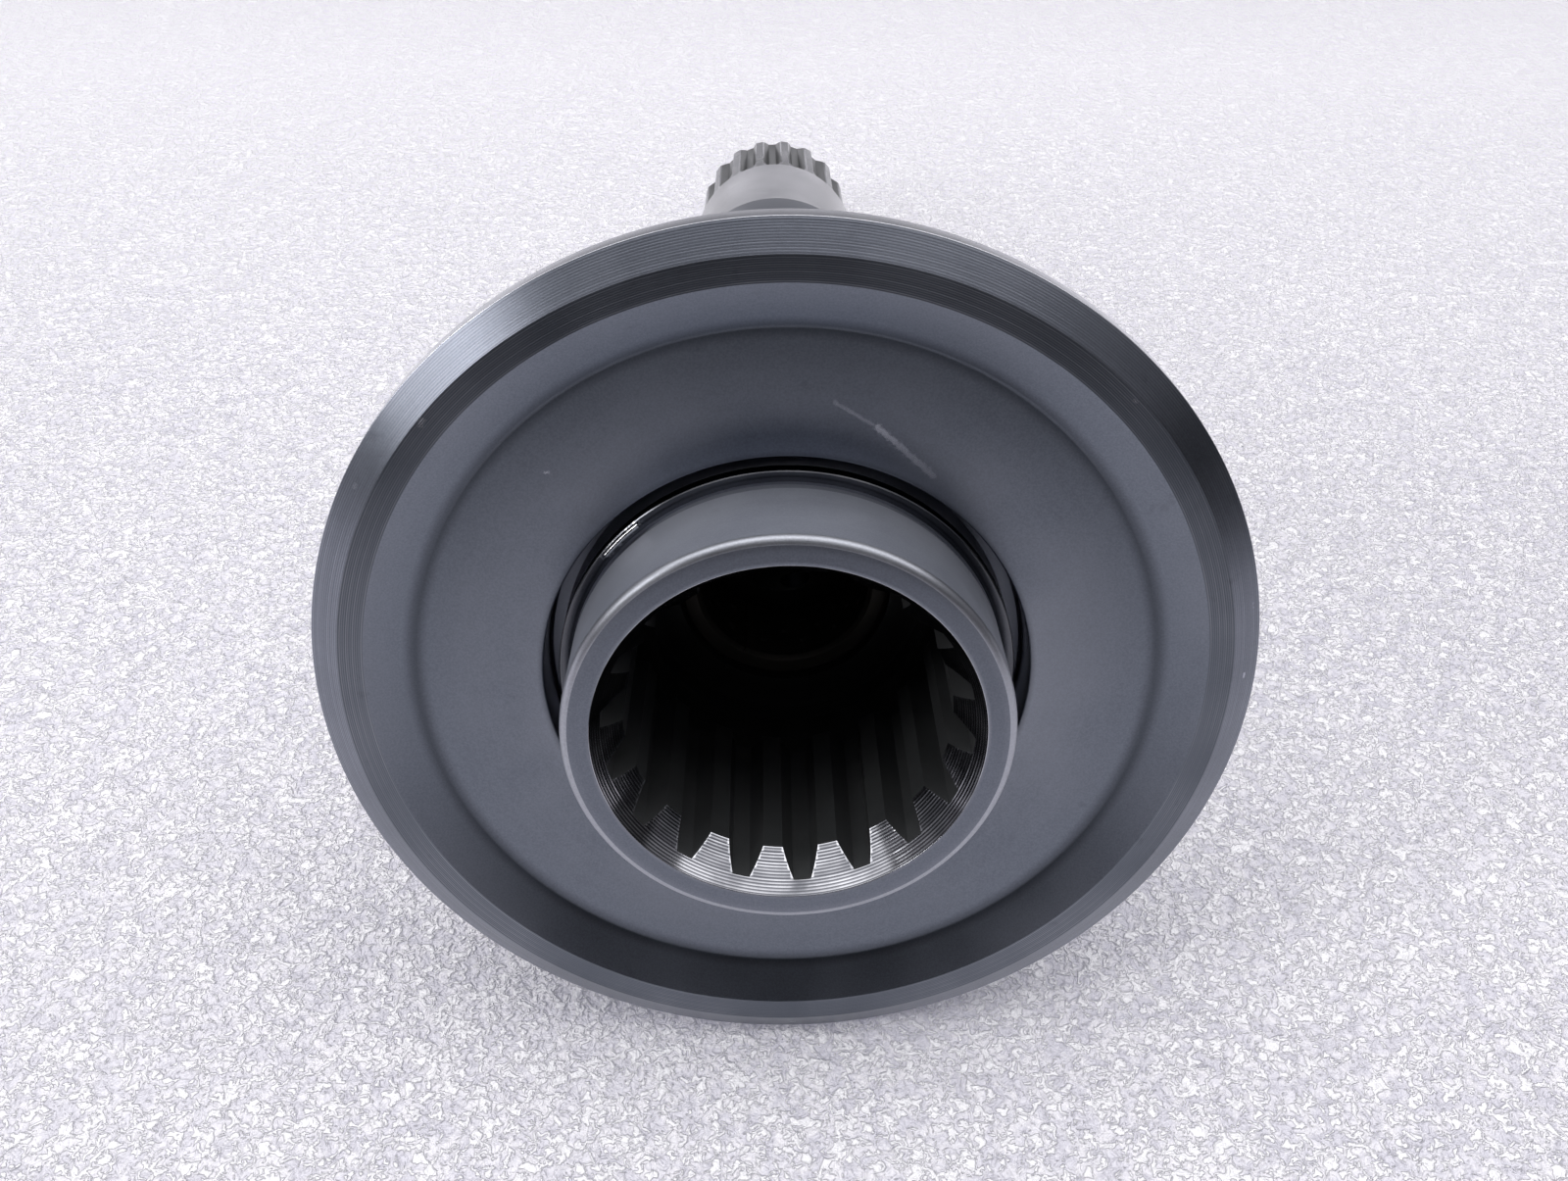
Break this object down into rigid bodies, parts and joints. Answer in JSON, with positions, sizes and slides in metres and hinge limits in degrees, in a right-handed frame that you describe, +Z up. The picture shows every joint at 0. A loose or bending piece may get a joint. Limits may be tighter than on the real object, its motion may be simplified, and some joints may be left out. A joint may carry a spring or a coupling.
{
  "type": "transmission input shaft",
  "caption": "Transmission input shaft with a round bevelled flange, an internally splined hub in front of it and a long stem with an external spline behind.",
  "frame": {"origin": "on the shaft's axis, in the plane of the front edge of the flange's rim land", "axes": "+Y along the shaft from the flange to the far spline, the hub faces -Y, +Z up"},
  "size_m": [0.1, 0.2143, 0.1],
  "materials": {
    "phosphated_steel": "dark blue-grey phosphate on turned steel, satin",
    "turned_steel": "dark blue-grey phosphate over fine turning lines",
    "ground_steel": "ground and bright",
    "spring_steel": "black oxide spring steel",
    "bronze": "bored bearing bronze",
    "plug_steel": "drawn steel, zinc plated",
    "seal_rubber": "black nitrile",
    "ball_steel": "polished bearing ball",
    "ring_iron": "turned grey iron"
  },
  "bodies": {
    "shaft": {"stem_shaft": "phosphated_steel", "flange_disc": "turned_steel", "hub_sleeve": "phosphated_steel", "hub_thrust_ring": "ground_steel", "flange_circlip": "spring_steel", "pilot_bushing": "bronze", "divider_plug": "plug_steel", "nose_seal_ring": "seal_rubber", "check_ball_capsule": "plug_steel"},
    "seal_ring_front": {"seal_ring_front": "ring_iron"},
    "seal_ring_middle": {"seal_ring_middle": "ring_iron"},
    "seal_ring_rear": {"seal_ring_rear": "ring_iron"},
    "check_ball": {"check_ball": "ball_steel"}
  },
  "joints": [
    {"name": "seal_ring_front_turn", "type": "hinge", "parent": "shaft", "child": "seal_ring_front", "pos_m": [0, 0.029, 0], "axis": [0, 1, 0], "continuous": true},
    {"name": "seal_ring_middle_turn", "type": "hinge", "parent": "shaft", "child": "seal_ring_middle", "pos_m": [0, 0.044, 0], "axis": [0, 1, 0], "continuous": true},
    {"name": "seal_ring_rear_turn", "type": "hinge", "parent": "shaft", "child": "seal_ring_rear", "pos_m": [0, 0.059, 0], "axis": [0, 1, 0], "continuous": true},
    {"name": "check_ball_lift", "type": "slide", "parent": "shaft", "child": "check_ball", "axis": [0, 1, 0], "range_m": [0, 0.00188]}
  ]
}
